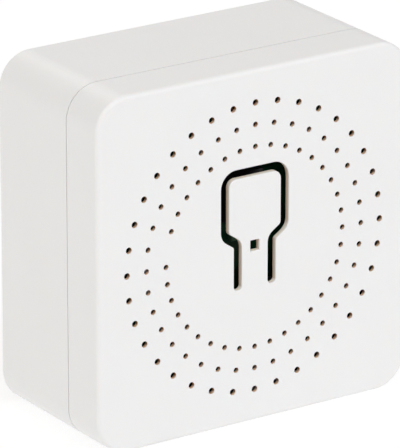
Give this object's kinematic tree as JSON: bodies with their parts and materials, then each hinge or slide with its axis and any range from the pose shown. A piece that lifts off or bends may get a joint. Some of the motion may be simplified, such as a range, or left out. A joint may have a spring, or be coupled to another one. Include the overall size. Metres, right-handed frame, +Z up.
{
  "type": "smart switch module",
  "caption": "Square white mains switching box with a bulb-shaped push key, rings of vents, an inner relay and screw terminals for wires along its lower edge.",
  "frame": {"origin": "under the middle of the case, on the surface that it stands on", "axes": "+X to the right across the face, +Y from the face to the back, +Z up along the key"},
  "size_m": [0.039, 0.019, 0.039],
  "materials": {
    "case": "satin moulded white",
    "board": "green solder mask",
    "solder": "tinned",
    "black_plastic": "moulded black",
    "steel": "zinc plated",
    "led_resin": "clear resin on white",
    "copper": "enamelled copper",
    "ceramic": "fired ceramic",
    "relay_plastic": "moulded black",
    "terminal_plastic": "moulded pale grey",
    "brass": "stamped brass",
    "silver": "silver alloy",
    "sleeve": "shrunk sleeve",
    "ferrite": "sintered ferrite",
    "resistor_coat": "flameproof coat",
    "varistor_coat": "epoxy dipped"
  },
  "bodies": {
    "housing": {"front_cover": "case", "rear_shell": "case", "main_board": "board", "solder_joints": "solder", "switch_base": "black_plastic", "switch_frame": "steel", "switch_dome": "steel", "status_led": "led_resin", "shield_can": "steel", "wireless_chip": "black_plastic", "crystal": "steel", "antenna": "copper", "bridge_rectifier": "black_plastic", "converter_chip": "black_plastic", "opto_coupler": "black_plastic", "driver_transistor": "black_plastic", "chip_parts": "ceramic", "relay_base": "black_plastic", "relay_cover": "relay_plastic", "relay_bobbin": "terminal_plastic", "relay_winding": "copper", "relay_core": "steel", "relay_yoke": "steel", "fixed_contact": "silver", "contact_terminal": "brass", "coil_pins": "solder", "bulk_capacitor": "sleeve", "output_capacitor": "sleeve", "inductor_core": "ferrite", "inductor_winding": "copper", "fuse_resistor": "resistor_coat", "varistor": "varistor_coat", "terminal_block": "terminal_plastic", "terminal_contacts": "brass"},
    "key": {"bulb_key": "case"},
    "stem": {"switch_stem": "black_plastic"},
    "armature": {"relay_armature": "steel", "contact_blade": "brass", "moving_contact": "silver"},
    "clamp_1": {"wire_clamp_1": "steel"},
    "screw_1": {"clamp_screw_1": "steel"},
    "clamp_2": {"wire_clamp_2": "steel"},
    "screw_2": {"clamp_screw_2": "steel"},
    "clamp_3": {"wire_clamp_3": "steel"},
    "screw_3": {"clamp_screw_3": "steel"},
    "clamp_4": {"wire_clamp_4": "steel"},
    "screw_4": {"clamp_screw_4": "steel"},
    "clamp_5": {"wire_clamp_5": "steel"},
    "screw_5": {"clamp_screw_5": "steel"},
    "clamp_6": {"wire_clamp_6": "steel"},
    "screw_6": {"clamp_screw_6": "steel"}
  },
  "joints": [
    {"name": "key_press", "type": "hinge", "parent": "housing", "child": "key", "pos_m": [0, -0.00888, 0.01554], "axis": [-1, 0, 0], "range_deg": [0, 1.6], "stiffness_Nm_per_rad": 0.1},
    {"name": "stem_press", "type": "slide", "parent": "housing", "child": "stem", "axis": [0, 1, 0], "range_m": [0, 0.00026]},
    {"name": "relay_pull", "type": "hinge", "parent": "housing", "child": "armature", "pos_m": [0.002, 0.0007, 0.0208], "axis": [0, 1, 0], "range_deg": [0, 4], "stiffness_Nm_per_rad": 0.02},
    {"name": "screw_turn_1", "type": "hinge", "parent": "housing", "child": "screw_1", "pos_m": [-0.0127, 0.0062, 0.0047], "axis": [0, -1, 0], "range_deg": [0, 1800]},
    {"name": "clamp_slide_1", "type": "slide", "parent": "housing", "child": "clamp_1", "axis": [0, 1, 0], "range_m": [0, 0.0025]},
    {"name": "screw_turn_2", "type": "hinge", "parent": "housing", "child": "screw_2", "pos_m": [-0.00762, 0.0062, 0.0047], "axis": [0, -1, 0], "range_deg": [0, 1800]},
    {"name": "clamp_slide_2", "type": "slide", "parent": "housing", "child": "clamp_2", "axis": [0, 1, 0], "range_m": [0, 0.0025]},
    {"name": "screw_turn_3", "type": "hinge", "parent": "housing", "child": "screw_3", "pos_m": [-0.00254, 0.0062, 0.0047], "axis": [0, -1, 0], "range_deg": [0, 1800]},
    {"name": "clamp_slide_3", "type": "slide", "parent": "housing", "child": "clamp_3", "axis": [0, 1, 0], "range_m": [0, 0.0025]},
    {"name": "screw_turn_4", "type": "hinge", "parent": "housing", "child": "screw_4", "pos_m": [0.00254, 0.0062, 0.0047], "axis": [0, -1, 0], "range_deg": [0, 1800]},
    {"name": "clamp_slide_4", "type": "slide", "parent": "housing", "child": "clamp_4", "axis": [0, 1, 0], "range_m": [0, 0.0025]},
    {"name": "screw_turn_5", "type": "hinge", "parent": "housing", "child": "screw_5", "pos_m": [0.00762, 0.0062, 0.0047], "axis": [0, -1, 0], "range_deg": [0, 1800]},
    {"name": "clamp_slide_5", "type": "slide", "parent": "housing", "child": "clamp_5", "axis": [0, 1, 0], "range_m": [0, 0.0025]},
    {"name": "screw_turn_6", "type": "hinge", "parent": "housing", "child": "screw_6", "pos_m": [0.0127, 0.0062, 0.0047], "axis": [0, -1, 0], "range_deg": [0, 1800]},
    {"name": "clamp_slide_6", "type": "slide", "parent": "housing", "child": "clamp_6", "axis": [0, 1, 0], "range_m": [0, 0.0025]}
  ],
  "couplings": [
    {"joint": "stem_press", "follows": "key_press", "m_per_rad": 0.00896},
    {"joint": "screw_turn_1", "follows": "clamp_slide_1", "rad_per_m": 12566},
    {"joint": "screw_turn_2", "follows": "clamp_slide_2", "rad_per_m": 12566},
    {"joint": "screw_turn_3", "follows": "clamp_slide_3", "rad_per_m": 12566},
    {"joint": "screw_turn_4", "follows": "clamp_slide_4", "rad_per_m": 12566},
    {"joint": "screw_turn_5", "follows": "clamp_slide_5", "rad_per_m": 12566},
    {"joint": "screw_turn_6", "follows": "clamp_slide_6", "rad_per_m": 12566}
  ]
}
